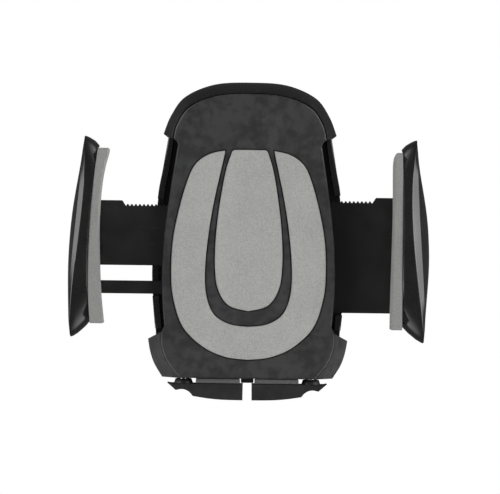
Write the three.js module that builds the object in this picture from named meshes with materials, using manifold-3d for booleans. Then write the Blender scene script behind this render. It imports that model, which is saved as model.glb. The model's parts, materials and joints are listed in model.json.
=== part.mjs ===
// Car phone mount: a spring-open cradle with a ratchet release, swing-out feet, a ball joint and an air-vent clip.
// Millimetres. +X is to the right of someone facing the phone, +Y points back into the car, +Z is up.
// Depths in this file are measured from the cradle's front face. The last group shifts everything so that
// the origin is the middle of the slot that grips a vent blade.
import * as THREE from "three";
import { mergeVertices } from "three/addons/utils/BufferGeometryUtils.js";
import Module from "manifold-3d";

// ---- Driving dimensions ----
const BLADE_DEPTH = 69; // front face to the middle of the vent slot
const GAP = 0.3; // between pieces that are fixed to each other

const PLATE_T = 2.2; // front cover's wall
const BODY_BACK = 13; // outside of the rear housing
const FLOOR = 10.8; // inside of the rear housing's back wall
const BODY_BOTTOM = -45.8;
const SKIRT_BACK = 8.5; // where the front cover's lower skirt ends
const BAND_BACK = 8; // where the top flank reaches its full size
const PAD_PROUD = 0.6;
const PAD_T = 1.5;

const PINION_TEETH = 14;
const PINION_R = 5; // pitch radius
const PRESSURE_ANGLE = (25 * Math.PI) / 180;
const RACK_PITCH = (2 * Math.PI * PINION_R) / PINION_TEETH;
const ADDENDUM = 0.57;
const DEDENDUM = 0.75;
const BACKLASH = 0.3;

const RATCHET_PITCH = 1.34;
const RATCHET_H = 0.65;
const LEFT_LAYER = [5.0, 7.5]; // depth of the left slider
const RIGHT_LAYER = [7.9, 10.4]; // depth of the right slider
const ARM_END = 51; // |x| where a slider's thin part ends
const PLATE_INNER = 26.5; // |x| where the wide part of a slider stops
const BAR_END = 7; // how far a slider's bars reach past the centre
const LEFT_RACK_TOP = 11.55;
const RIGHT_RACK_TOP = 13.4;
const BLOCK_RISE = 1.15; // step at the outer end of the ratchet teeth

const JAW = { x0: 51.5, x1: 53.3 };
const GRIP = { x0: 48.2, x1: 51.2, y0: -14.6, y1: 2.5, z0: -28.3, z1: 29.6 };
const CHEEK_WALL = 1.4;
const CHEEK_SCREW = { y: -1.5, z: [-16, 18] };

const FOOT_PIVOT = { x: 21.1, y: 5 };
const FOOT_TOP = -47.6;
const FOOT_DEPTH = 8.4;

const BALL = { y: 24, r: 8.5 };
const LINER = { inner: 8.72, outer: 9.55, from: -6.5, to: 4.7 };
const SEAT_R = 9.85;
const CUP_R = 12.4;
const NUT = { bore: 12.65, r: 16.2, y0: 17.5, y1: 30.8 };
const STEM_R = 3.5;

const CLIP = { front: 43.2, back: 76, half: 8, ear0: 8.4, ear1: 10.5 };
const CLIP_PIN = { y: 54, z: 5.5, r: 1.5 };

// ---- Materials ----
const plastic = (color, roughness) => new THREE.MeshStandardMaterial({ color, roughness, metalness: 0 });
const matteGrey = plastic(0x404144, 0.6);
const glossBlack = plastic(0x141416, 0.2);
const armBlack = plastic(0x1e1e20, 0.45);
const gripGrey = plastic(0x9a9a95, 0.9);
const acetal = plastic(0xd8d6cc, 0.4);
const steel = new THREE.MeshStandardMaterial({ color: 0xb8babd, roughness: 0.3, metalness: 1 });

// ---- Solids ----
const wasm = await Module();
wasm.setup();

// A closed geometry as a solid, with its faces turned outwards.
function solid(geometry) {
  const bare = geometry.index ? geometry.toNonIndexed() : geometry.clone();
  bare.deleteAttribute("normal");
  bare.deleteAttribute("uv");
  const merged = mergeVertices(bare, 1e-4);
  const vertProperties = merged.attributes.position.array;
  const build = (triVerts) => new wasm.Manifold(new wasm.Mesh({ numProp: 3, vertProperties, triVerts }));
  const triVerts = new Uint32Array(merged.index.array);
  const made = build(triVerts);
  if (made.volume() > 0) return made;
  return build(triVerts.map((_, i) => triVerts[i - (i % 3) + 2 - (i % 3)]));
}

const join = (...solids) => solids.reduce((whole, next) => whole.add(next));
const cut = (whole, ...tools) => tools.reduce((left, tool) => left.subtract(tool), whole);

function box(x0, x1, y0, y1, z0, z1) {
  const geometry = new THREE.BoxGeometry(Math.abs(x1 - x0), y1 - y0, z1 - z0);
  return solid(geometry.translate((x0 + x1) / 2, (y0 + y1) / 2, (z0 + z1) / 2));
}

const asShape = (outline) => new THREE.Shape(outline.map((p) => new THREE.Vector2(...p)));
const extruded = (shape, depth) => new THREE.ExtrudeGeometry(shape, { depth, bevelEnabled: false, curveSegments: 6 });

// An outline drawn as seen from the front, (x, z), and pushed through from depth y0 to y1.
const frontPrism = (outline, y0, y1) =>
  solid(extruded(asShape(outline), y1 - y0).rotateX(Math.PI / 2).translate(0, y1, 0));

// An outline drawn as seen from the side, (y, z), and pushed through from x0 to x1.
const SIDE = new THREE.Matrix4().makeBasis(
  new THREE.Vector3(0, 1, 0),
  new THREE.Vector3(0, 0, 1),
  new THREE.Vector3(1, 0, 0),
);
const sidePrism = (outline, x0, x1) => solid(extruded(asShape(outline), x1 - x0).applyMatrix4(SIDE).translate(x0, 0, 0));

// An outline drawn as seen from above, (x, y), and pushed through from z0 to z1.
const planPrism = (outline, z0, z1) => solid(extruded(asShape(outline), z1 - z0).translate(0, 0, z0));

// A profile of (radius, distance) points turned round an axis through a point.
function turned(profile, axis, at = [0, 0, 0], segments = 24) {
  const geometry = new THREE.LatheGeometry(profile.map((p) => new THREE.Vector2(...p)), segments);
  if (axis === "z") geometry.rotateX(Math.PI / 2);
  if (axis === "x") geometry.rotateZ(-Math.PI / 2);
  return solid(geometry.translate(...at));
}

const rod = (axis, r, from, to, at, segments = 16) =>
  turned([[0, from], [r, from], [r, to], [0, to]], axis, at, segments);

// A closed skin through loops of equal length; caps are triangulated in the plane that flat() gives.
function skin(loops, flat) {
  const n = loops[0].length;
  const index = [];
  const area = (p) => p.reduce((sum, a, i) => sum + a.cross(p[(i + 1) % p.length]), 0);
  for (let k = 0; k + 1 < loops.length; k++)
    for (let i = 0; i < n; i++) {
      const [a, b] = [k * n + i, k * n + ((i + 1) % n)];
      index.push(a, b, b + n, a, b + n, a + n);
    }
  const cap = (loop, first, reversed) => {
    const places = loop.map(flat);
    for (const face of THREE.ShapeUtils.triangulateShape([...places], [])) {
      const alike = area(face.map((i) => places[i])) * area(places) > 0;
      index.push(...(alike === reversed ? [...face].reverse() : face).map((i) => i + first));
    }
  };
  cap(loops[0], 0, true);
  cap(loops[loops.length - 1], (loops.length - 1) * n, false);
  const geometry = new THREE.BufferGeometry();
  const positions = loops.flat().flatMap((p) => [p.x, p.y, p.z]);
  geometry.setAttribute("position", new THREE.Float32BufferAttribute(positions, 3));
  geometry.setIndex(index);
  return solid(geometry);
}

// A wire of radius r along a curve.
function wire(curve, r, steps, sides = 4) {
  const section = new THREE.Shape(
    Array.from({ length: sides }, (_, i) => {
      const turn = (2 * Math.PI * i) / sides;
      return new THREE.Vector2(r * Math.cos(turn), r * Math.sin(turn));
    }),
  );
  return solid(new THREE.ExtrudeGeometry(section, { steps, extrudePath: curve, bevelEnabled: false }));
}

class Helix extends THREE.Curve {
  constructor(place) {
    super();
    this.place = place;
  }
  getPoint(t) {
    return this.place(t);
  }
}

// A compression spring between two ends on a line along x or y.
function coilSpring({ axis, from, to, centre, r, wireR, turns }) {
  const curve = new Helix((t) => {
    const turn = 2 * Math.PI * turns * t;
    const along = from + wireR + (to - from - 2 * wireR) * t;
    const [a, b] = [centre[0] + r * Math.cos(turn), centre[1] + r * Math.sin(turn)];
    return axis === "x" ? new THREE.Vector3(along, a, b) : new THREE.Vector3(a, along, b);
  });
  return wire(curve, wireR, turns * 8);
}

// ---- Outlines, as seen from the front ----
const spline = (points, divisions) =>
  new THREE.SplineCurve(points.map((p) => new THREE.Vector2(...p))).getPoints(divisions).map((p) => [p.x, p.y]);

// The whole outline from its right half, which runs from the top middle to the bottom middle.
const bothSides = (half) => [...half, ...half.filter((p) => p[0] > 0).map(([x, z]) => [-x, z]).reverse()];

// An outline moved outwards by a distance, or inwards where it is negative.
function offset(outline, distance) {
  const n = outline.length;
  const area = outline.reduce((sum, [x, z], i) => {
    const [nextX, nextZ] = outline[(i + 1) % n];
    return sum + x * nextZ - nextX * z;
  }, 0);
  return outline.map(([x, z], i) => {
    const [before, after] = [outline[(i + n - 1) % n], outline[(i + 1) % n]];
    const into = new THREE.Vector2(x - before[0], z - before[1]).normalize();
    const out = new THREE.Vector2(after[0] - x, after[1] - z).normalize();
    const along = into.clone().add(out).normalize();
    const stretch = distance / Math.max(0.5, along.dot(out)) / Math.sign(area);
    return [x + along.y * stretch, z - along.x * stretch];
  });
}

const plateTop = spline([[0, 48.3], [11, 47.5], [19.8, 43.9], [24, 38.2], [25.3, 33.2]], 9);
const plateWaist = spline([[23.8, 31], [26.2, 15.5], [28, 1], [28.6, -12], [28.2, -22], [27.6, -28.6]], 6);
const crease = spline([[28.6, -30.6], [28.5, -35], [26.6, -40.3], [22.4, BODY_BOTTOM]], 4);
const ear = spline([[33.1, -33.3], [32.3, -37.5], [30.9, -41.5], [28.3, BODY_BOTTOM]], 4);
const bandOuter = spline([[0, 52], [12, 51.2], [21.5, 47.3], [26.3, 41.2], [28.8, 35]], 9);
const rim = spline([[26.9, 33.7], [28.5, 23], [30, 14], [31.6, -6], [31.6, -16], [30.3, -31]], 6);

const centrePadOutline = bothSides([
  [0, 30],
  [5.2, 29.95],
  ...spline([[5.7, 29.5], [7.9, 23.5], [9.7, 13], [10.9, 2], [11.1, -8], [10.1, -16], [6.5, -21.6], [0, -23.5]], 12),
]);
const padOuter = spline(
  [[8.1, 29.4], [13.5, 28], [17.6, 24.6], [20.6, 19], [23.2, 9.6], [25, 0], [25.5, -10], [24.8, -19]]
    .concat([[21.6, -28.6], [15, -35.2], [7.5, -38.6], [0, -39.5]]),
  18,
);
const padInner = spline([[0, -28.7], [6, -27.9], [11, -25], [13.6, -19.6], [14.4, -12], [13.7, -1], [11.8, 12], [8.3, 28]], 12);
const leftward = (points) => points.map(([x, z]) => [-x, z]).reverse();
const outerPadOutline = [
  ...padOuter,
  ...leftward(padOuter).slice(1),
  ...leftward(padInner),
  ...padInner.slice(1),
];

// ---- Body of the cradle ----
const HOUSING_POSTS = [[-14, 39.5], [14, 39.5], [-15, -37], [15, -37]];
const BODY_SCREW = { headR: 2.1, tip: 5.6 };

function frontCover() {
  const plate = frontPrism(bothSides([...plateTop, ...plateWaist, ...crease, [0, BODY_BOTTOM]]), 0, PLATE_T);
  const level = (half, y) => [...half, ...leftward(half)].map(([x, z]) => new THREE.Vector3(x, y, z));
  const seenFromFront = (p) => new THREE.Vector2(p.x, p.z);
  const skirt = skin([level(crease, 0), level(ear, SKIRT_BACK)], seenFromFront);
  const creaseIn = [[26.8, -28], [26.7, -35], [24.9, -39.6], [21.6, -44]];
  const earIn = [[31.2, -28], [30.5, -37], [29.1, -40.9], [27.2, -44]];
  const hollow = skin([level(creaseIn, PLATE_T), level(earIn, SKIRT_BACK + 0.1)], seenFromFront);
  const posts = HOUSING_POSTS.map(([x, z]) => rod("y", 2.8, PLATE_T - 0.1, FLOOR - 0.2, [x, 0, z]));
  const screwHoles = HOUSING_POSTS.map(([x, z]) => rod("y", 1.15, 5, FLOOR, [x, 0, z]));
  const axleBoss = rod("y", 2.6, PLATE_T - 0.1, 4.8, [0, 0, 0]);
  const axleHole = rod("y", 1.35, 2.8, 5, [0, 0, 0]);
  const springStop = box(8, 9.5, PLATE_T - 0.1, 7.6, -18.4, -13.6);
  const pivotBosses = [-1, 1].map((s) => rod("z", 3.1, BODY_BOTTOM + 1, -39.5, [s * FOOT_PIVOT.x, FOOT_PIVOT.y, 0]));
  const pivotHoles = [-1, 1].map((s) => rod("z", 1.62, -47, -40, [s * FOOT_PIVOT.x, FOOT_PIVOT.y, 0]));
  const footStop = frontPrism(
    [[-2.1, BODY_BOTTOM + 0.5], [-2.1, -46.7], [-1.5, -47.3], [1.5, -47.3], [2.1, -46.7], [2.1, BODY_BOTTOM + 0.5]],
    3,
    7,
  );
  const recesses = [centrePadOutline, outerPadOutline].map((o) => frontPrism(offset(o, 0.3), -0.5, 1));
  return cut(
    join(plate, cut(skirt, hollow), ...posts, axleBoss, springStop, ...pivotBosses, footStop),
    ...screwHoles,
    axleHole,
    ...pivotHoles,
    ...recesses,
  );
}

const PUSH_PAD = { half: 9, z0: 20, z1: 32 };
const CUP_SCREWS = [[-6.5, -6.5], [6.5, -6.5], [-6.5, 6.5], [6.5, 6.5]];
const SPRING_STOP_X = -8;

function rearHousing() {
  const low = [[30.6, -36], [29.3, -41], [27.2, -45.3], [0, -45.3]];
  const outside = bothSides([...bandOuter, ...rim, ...low]);
  const tray = frontPrism(outside, 3, 11.5);
  const at = (outline, y) => outline.map(([x, z]) => new THREE.Vector3(x, y, z));
  const back = skin([at(outside, 11.4), at(offset(outside, -1.4), BODY_BACK)], (p) => new THREE.Vector2(p.x, p.z));
  const aboveBand = box(-40, 40, 2, BAND_BACK, 34, 60);
  const behindSkirt = box(-40, 40, 2, SKIRT_BACK + GAP, -60, -29.6);
  const flankFront = spline([[0, 49.2], [11, 48.4], [20.4, 44.6], [24.8, 38.6], [26.2, 33.6]], 9);
  const flankLoop = (half, y) => [...half, ...leftward(half).slice(0, -1)].map(([x, z]) => new THREE.Vector3(x, y, z));
  const flank = skin([flankLoop(flankFront, 0.5), flankLoop(bandOuter, BAND_BACK + 0.1)], (p) => new THREE.Vector2(p.x, p.z));
  const inside = bothSides([
    ...spline([[0, 48.6], [11, 47.8], [20, 44.2], [24.3, 38.3], [25.5, 33]], 8),
    ...spline([[25.5, 32], [26.8, 23], [28.3, 14], [29.8, -6], [29.8, -16], [28.5, -31]], 6),
    ...[[28.6, -36], [27.2, -41], [25.8, -43.5], [0, -43.5]],
  ]);
  const cavity = frontPrism(inside, -1, FLOOR);
  const leftSlot = box(-40, -20, -1, 7.8, -18.9, 13.4);
  const rightSlot = box(20, 40, -1, FLOOR - 0.1, -24.6, 15.1);
  const buttonWindow = box(-9.3, 9.3, 10, 14, PUSH_PAD.z0 - 0.3, PUSH_PAD.z1 + 0.3);
  const screwHoles = HOUSING_POSTS.flatMap(([x, z]) => [
    rod("y", 1.3, 10, 14, [x, 0, z]),
    rod("y", 2.4, 11.7, 14, [x, 0, z]),
  ]);
  const cupHoles = CUP_SCREWS.map(([x, z]) =>
    turned([[0, 10], [2.3, 10], [2.3, 11], [1.2, 12.2], [1.2, 14], [0, 14]], "y", [x, 0, z], 16),
  );
  const axleSeat = rod("y", 1.35, 10, 12.3, [0, 0, 0]);
  const guideRib = box(-22, 22, 8.2, FLOOR + 0.1, -26.4, -24.5);
  const springStop = box(SPRING_STOP_X - 1.5, SPRING_STOP_X, 8, FLOOR + 0.1, -24.6, -18.8);
  return cut(
    join(
      cut(join(cut(tray, aboveBand, behindSkirt), back, flank), cavity, leftSlot, rightSlot),
      guideRib,
      springStop,
    ),
    buttonWindow,
    ...screwHoles,
    ...cupHoles,
    axleSeat,
  );
}

const centrePad = () => frontPrism(centrePadOutline, -PAD_PROUD, PAD_T - PAD_PROUD);
const outerPad = () => frontPrism(outerPadOutline, -PAD_PROUD, PAD_T - PAD_PROUD);

const bodyScrewAt = ([x, z]) =>
  turned([[0, BODY_SCREW.tip], [1, 6.3], [1, 11.9], [BODY_SCREW.headR, 11.9], [1.7, 12.8], [0, 12.8]], "y", [x, 0, z], 14);

// ---- Sliding arms ----
// A row of pointed teeth standing on z = root, from x0 to x1.
function ratchetRow(x0, x1, root, tip) {
  const count = Math.floor((x1 - x0) / RATCHET_PITCH);
  const teeth = Array.from({ length: count }, (_, i) => x0 + i * RATCHET_PITCH).flatMap((x) => [
    [x + 0.15, root],
    [x + RATCHET_PITCH / 2 - 0.08, tip],
    [x + RATCHET_PITCH / 2 + 0.08, tip],
    [x + RATCHET_PITCH - 0.15, root],
  ]);
  const middle = (root + tip) / 2;
  const base = middle > root ? root - 0.5 : root + 0.5;
  return [[x0, base], ...teeth, [x1, root], [x1, base]];
}

// Straight-sided rack teeth centred on x = first * pitch to last * pitch, pointing towards the pinion.
function rackRow(first, last, side) {
  const half = RACK_PITCH / 4 - BACKLASH / 4;
  const slope = Math.tan(PRESSURE_ANGLE);
  const tipZ = side * (PINION_R - ADDENDUM);
  const rootZ = side * (PINION_R + DEDENDUM);
  const points = [];
  for (let k = first; k <= last; k++) {
    const x = k * RACK_PITCH;
    points.push([x - half - slope * DEDENDUM, rootZ], [x - half + slope * ADDENDUM, tipZ]);
    points.push([x + half - slope * ADDENDUM, tipZ], [x + half + slope * DEDENDUM, rootZ]);
  }
  const baseZ = rootZ + side * 0.3;
  return [[points[0][0], baseZ], ...points, [points[points.length - 1][0], baseZ]];
}

// A solid that fills the cheek's mouth with a little clearance, from |x| = near to |x| = far.
function mouthPlug(side, near, far) {
  const mouth = cheekRing(side, cheekMouth(CHEEK_WALL + GAP), () => 0).map((p) => [p.y, p.z]);
  return sidePrism(mouth, Math.min(side * near, side * far), Math.max(side * near, side * far));
}

// The thick root that ties a slider to its jaw plate.
const armRoot = (side, z0, z1) =>
  mouthPlug(side, ARM_END - 0.6, JAW.x0 + 0.6).intersect(box(-60, 60, LEFT_LAYER[0], 12, z0, z1));

// The upright plate at the end of a slider, which carries the cheek outside and the grip inside.
function jawPlate(side) {
  const plate = mouthPlug(side, JAW.x0, JAW.x1);
  const screws = CHEEK_SCREW.z.map((z) => {
    const profile = [[0, 50], [2.3, 50], [2.3, JAW.x0 + 0.1], [1.2, JAW.x0 + 1.1], [1.2, 54], [0, 54]];
    return turned(side > 0 ? profile : profile.map(([r, x]) => [r, -x]), "x", [0, CHEEK_SCREW.y, z], 16);
  });
  return cut(plate, ...screws);
}

function leftArm() {
  const [y0, y1] = LEFT_LAYER;
  const root = LEFT_RACK_TOP - RATCHET_H;
  const top = LEFT_RACK_TOP + BLOCK_RISE;
  const plate = box(-ARM_END, -PLATE_INNER, y0, y1, -8.8, root);
  const block = frontPrism([[-ARM_END, root - 1], [-ARM_END, top], [-42.2, top], [-41, root], [-41, root - 1]], y0, y1);
  const bar = box(-PLATE_INNER - 1, BAR_END, y0, y1, PINION_R + DEDENDUM, root);
  const ratchet = frontPrism(ratchetRow(-41, -10, root, LEFT_RACK_TOP), y0, y1);
  const rack = frontPrism(rackRow(-10, 2, 1), y0, y1);
  const guide = box(-ARM_END, -22, y0, y1, -18.2, -13.9);
  return join(plate, block, bar, ratchet, rack, guide, jawPlate(-1), armRoot(-1, -20, 14));
}

function rightArm() {
  const [y0, y1] = RIGHT_LAYER;
  const root = RIGHT_RACK_TOP - RATCHET_H;
  const top = RIGHT_RACK_TOP + BLOCK_RISE;
  const plate = box(PLATE_INNER, ARM_END, y0, y1, -23.9, root);
  const block = frontPrism([[ARM_END, root - 1], [ARM_END, top], [42.2, top], [41, root], [41, root - 1]], y0, y1);
  const upperBar = box(-BAR_END, PLATE_INNER + 1, y0, y1, 8.2, root);
  const ratchet = frontPrism(ratchetRow(10, 41, root, RIGHT_RACK_TOP), y0, y1);
  const lowerBar = box(-BAR_END, PLATE_INNER + 1, y0, y1, -11, -PINION_R - DEDENDUM);
  const rack = frontPrism(rackRow(-2, 10, -1), y0, y1);
  return join(plate, block, upperBar, ratchet, lowerBar, rack, jawPlate(1), armRoot(1, -24, 15));
}

function pinion() {
  const base = PINION_R * Math.cos(PRESSURE_ANGLE);
  const involute = (r) => {
    const angle = Math.acos(Math.min(1, base / r));
    return Math.tan(angle) - angle;
  };
  const atPitch = Math.PI / (2 * PINION_TEETH) - BACKLASH / (4 * PINION_R);
  const halfAngle = (r) => atPitch + involute(PINION_R) - involute(Math.max(r, base));
  const radii = [PINION_R - DEDENDUM, base + 0.15, PINION_R, PINION_R + ADDENDUM];
  const outline = [];
  for (let tooth = 0; tooth < PINION_TEETH; tooth++) {
    const middle = (2 * Math.PI * (tooth + 0.5)) / PINION_TEETH + Math.PI / 2;
    const side = (r, s) => [r * Math.cos(middle + s * halfAngle(r)), r * Math.sin(middle + s * halfAngle(r))];
    outline.push(...radii.map((r) => side(r, -1)), ...[...radii].reverse().map((r) => side(r, 1)));
  }
  const gear = frontPrism(outline, LEFT_LAYER[0] + 0.1, RIGHT_LAYER[1] - 0.1);
  return cut(gear, rod("y", 1.35, 4, 12, [0, 0, 0]));
}

// ---- Cheeks and grips ----
// How far out the cheek's rim and its domed face stand at height z.
const rimAt = (z) => 54.7 + 0.0017 * (z - 12) ** 2 - 0.012 * (z - 12);
const domeAt = (z) => 59.4 - 0.0027 * (z + 7) ** 2;
const CHEEK_TOP = 33.4;
const CHEEK_LOW = -32.8;
const CHEEK_DEPTH = [-15.2, 12.2];

// A ring of the cheek: share 1 is the rim, smaller shares lie further up the dome.
function cheekRing(side, size, xAt, points = 24) {
  const middleY = (CHEEK_DEPTH[0] + CHEEK_DEPTH[1]) / 2;
  const middleZ = (CHEEK_TOP + CHEEK_LOW) / 2;
  return Array.from({ length: points }, (_, i) => {
    const turn = (2 * Math.PI * (i + 0.5)) / points;
    const round = (value) => Math.sign(value) * Math.abs(value) ** 0.5;
    const y = middleY + size.y * round(Math.cos(turn));
    const z = middleZ + size.z * round(Math.sin(turn)) + (size.lift ?? 0);
    return new THREE.Vector3(side * xAt(z), y, z);
  });
}

function cheekHalf(inset) {
  return { y: (CHEEK_DEPTH[1] - CHEEK_DEPTH[0]) / 2 - inset, z: (CHEEK_TOP - CHEEK_LOW) / 2 - inset };
}

function cheekMouth(inset) {
  const half = cheekHalf(inset);
  return { y: half.y, z: half.z - 4, lift: 1 };
}

function cheekSkin(side, inset) {
  const { y: halfY, z: halfZ } = cheekHalf(inset);
  const mouth = cheekMouth(inset);
  const mouthX = inset > 0 ? JAW.x0 - 1 : JAW.x0 - 0.2;
  const blend = (share) => (z) => rimAt(z) + (domeAt(z) - rimAt(z)) * share - inset;
  return skin(
    [
      cheekRing(side, mouth, () => mouthX),
      cheekRing(side, { y: halfY, z: halfZ }, blend(0)),
      cheekRing(side, { y: halfY - 1.6, z: halfZ - 3.4 }, blend(0.45)),
      cheekRing(side, { y: halfY * 0.6, z: halfZ * 0.62 }, blend(0.88)),
      cheekRing(side, { y: halfY * 0.25, z: halfZ * 0.3 }, blend(1)),
    ],
    (p) => new THREE.Vector2(p.y, p.z),
  );
}

function cheekCover(side) {
  const outer = cheekSkin(side, 0);
  const along = (profile) => (side > 0 ? profile : profile.map(([r, x]) => [r, -x]));
  const bosses = CHEEK_SCREW.z.map((z) =>
    turned(along([[0, 53.6], [2.5, 53.6], [2.5, 60], [0, 60]]), "x", [0, CHEEK_SCREW.y, z], 16).intersect(outer),
  );
  const holes = CHEEK_SCREW.z.map((z) =>
    turned(along([[0, 53], [1.15, 53], [1.15, 56.6], [0, 56.6]]), "x", [0, CHEEK_SCREW.y, z], 14),
  );
  return cut(join(cut(outer, cheekSkin(side, CHEEK_WALL)), ...bosses), ...holes);
}

function cheekScrew(side, z) {
  const profile = [[0, JAW.x0 + 0.15], [2, JAW.x0 + 0.15], [1, 52.65], [1, 55.8], [0, 56.3]];
  return turned(side > 0 ? profile : profile.map(([r, x]) => [r, -x]), "x", [0, CHEEK_SCREW.y, z], 12);
}

// The grip is a soft strip, a little hollow along its length where it meets the phone.
function gripPad(side) {
  const { x0, x1, y0, y1, z0, z1 } = GRIP;
  const face = spline([[x0 - 0.5, z0], [x0, z0 + 16], [x0, z1 - 18], [x0 - 0.5, z1]], 8);
  const outline = [...face, [x1, z1 - 0.4], [x1, z0 + 0.4]].map(([x, z]) => [side * x, z]);
  return frontPrism(outline, y0, y1);
}

// ---- Release button ----
const BRIDGE = { half: 20, z0: 15.2, z1: 19, y0: 5.4, y1: 10.4 };
const COMB = { from: 11, to: 19, clear: 0.15 };
const BUTTON_SPRINGS = [-5.5, 5.5];
const BUTTON_SPRING_Z = 26;
const POCKET_FLOOR = 9.4;

function releaseButton() {
  const { y0, y1 } = BRIDGE;
  const pad = box(-PUSH_PAD.half, PUSH_PAD.half, y0, 15.6, PUSH_PAD.z0, PUSH_PAD.z1);
  const flange = box(-10.8, 10.8, y0, y1, PUSH_PAD.z0 - 1.5, PUSH_PAD.z1 + 1.2);
  const bridge = box(-BRIDGE.half, BRIDGE.half, y0, y1, BRIDGE.z0, BRIDGE.z1);
  const comb = (from, to, tip, layer) => {
    const root = tip + RATCHET_H;
    const teeth = frontPrism(ratchetRow(from, to, root, tip), layer[0] + 0.2, layer[1] - 0.2);
    return join(teeth, box(from, to, layer[0] + 0.2, layer[1] - 0.2, root, BRIDGE.z0 + 0.5));
  };
  const leftComb = comb(-COMB.to, -COMB.from, LEFT_RACK_TOP + COMB.clear, LEFT_LAYER);
  const rightComb = comb(COMB.from, COMB.to, RIGHT_RACK_TOP + COMB.clear, RIGHT_LAYER);
  const pockets = BUTTON_SPRINGS.map((x) => rod("y", 2.2, 4, POCKET_FLOOR, [x, 0, BUTTON_SPRING_Z]));
  return cut(join(pad, flange, bridge, leftComb, rightComb), ...pockets);
}

// ---- Feet ----
// Front view of the left foot: a bar under the body with a thumb tip and a notch under its pivot.
const footOutline = [
  [-26.5, FOOT_TOP + 0.3],
  [-25.6, FOOT_TOP],
  [-1.4, FOOT_TOP],
  [-1.5, -52.9],
  ...spline([[-1.9, -53.1], [-8, -52.9], [-13, -52.5], [-18, -51.7]], 4),
  ...spline([[-18.6, -50.8], [-19.8, -49.9], [-21.4, -49.5], [-23.7, -49.8]], 4),
];

function foot(side) {
  const y0 = FOOT_PIVOT.y - FOOT_DEPTH / 2;
  const bar = frontPrism(footOutline.map(([x, z]) => [-side * x, z]), y0, y0 + FOOT_DEPTH);
  const at = [side * FOOT_PIVOT.x, FOOT_PIVOT.y, 0];
  const hub = turned([[0, -48.5], [3.1, -48.5], [3.1, FOOT_TOP], [2.7, -46.1], [0, -46.1]], "z", at, 20);
  const hole = turned([[0, -54], [2.8, -54], [2.8, -49.4], [1.65, -48.2], [1.65, -45], [0, -45]], "z", at, 20);
  return cut(join(bar, hub), hole);
}

function footPad(side) {
  const reach = 18.7; // from the pivot to the pad's rounded end
  const half = 3.4;
  const points = [[-17, half], [-17, -half]];
  for (let i = 0; i <= 6; i++) {
    const turn = (Math.asin(half / reach) * (i - 3)) / 3;
    points.push([-FOOT_PIVOT.x + reach * Math.cos(turn), reach * Math.sin(turn)]);
  }
  return planPrism(points.map(([x, y]) => [-side * x, FOOT_PIVOT.y + y]), FOOT_TOP + 0.1, -46.7);
}

const footScrew = (side) =>
  turned(
    [[0, -49.3], [2.5, -49.3], [1.5, -48.25], [1.5, -41.6], [0, -40.6]],
    "z",
    [side * FOOT_PIVOT.x, FOOT_PIVOT.y, 0],
    16,
  );

// ---- Ball joint ----
// Points on a circle about the ball's centre, from one distance along y to another.
function arc(r, from, to, steps) {
  const [start, end] = [Math.asin(from / r), Math.asin(to / r)];
  return Array.from({ length: steps + 1 }, (_, i) => {
    const turn = start + ((end - start) * i) / steps;
    return [Math.max(0, r * Math.cos(turn)), BALL.y + r * Math.sin(turn)];
  });
}

function socketCup() {
  const profile = [
    [0, BODY_BACK + 0.2],
    [14, BODY_BACK + 0.2],
    [14, 15],
    [CUP_R, 15.6],
    [CUP_R, 26.2],
    [11.7, 26.8],
    ...arc(SEAT_R, 2.6, -8.7, 6),
    [0, BALL.y - 8.7],
  ];
  const slots = [box(-14, 14, 18, 28, -0.8, 0.8), box(-0.8, 0.8, 18, 28, -14, 14)];
  const holes = CUP_SCREWS.map(([x, z]) => rod("y", 1.15, 12, 18.4, [x, 0, z], 12));
  return cut(turned(profile, "y"), ...slots, ...holes);
}

const cupScrew = ([x, z]) =>
  turned([[0, 10.95], [2, 10.95], [1, 12.1], [1, 17.2], [0, 17.8]], "y", [x, 0, z], 12);

const ballLiner = () =>
  turned(
    [
      ...arc(LINER.inner, LINER.from, LINER.to, 5),
      ...arc(LINER.outer, LINER.to, LINER.from, 5),
      arc(LINER.inner, LINER.from, LINER.from, 1)[0],
    ],
    "y",
  );

function lockNut() {
  const grips = 12;
  const outline = Array.from({ length: grips * 4 }, (_, i) => {
    const turn = (2 * Math.PI * i) / (grips * 4);
    const r = NUT.r - 0.9 * Math.max(0, Math.cos(grips * turn)) ** 2;
    return [r * Math.cos(turn), r * Math.sin(turn)];
  });
  const ring = frontPrism(outline, NUT.y0, NUT.y1);
  const chamfer = turned([[14.6, NUT.y1 + 0.1], [17, NUT.y1 + 0.1], [17, NUT.y1 - 1.8], [14.6, NUT.y1 + 0.1]], "y");
  const bore = turned(
    [[0, 17], [NUT.bore, 17], [NUT.bore, 27], ...arc(9.9, 3, 5.4, 1), [8.2, 30], [9.4, 31], [0, 31]],
    "y",
  );
  return cut(ring, chamfer, bore);
}

function ballStud() {
  const neck = Math.sqrt(BALL.r ** 2 - STEM_R ** 2);
  return turned(
    [...arc(BALL.r, -BALL.r, neck, 10), [STEM_R, 39.5], [6, 41], [6, 43], [2, 43], [2, 51.4], [0, 51.4]],
    "y",
  );
}

// ---- Vent clip ----
function studNut() {
  const flats = Array.from({ length: 6 }, (_, i) => {
    const turn = (Math.PI * i) / 3;
    return [4.04 * Math.cos(turn), 4.04 * Math.sin(turn)];
  });
  return cut(frontPrism(flats, 47.5, 50.5), rod("y", 2.15, 46, 52, [0, 0, 0], 16));
}

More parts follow.
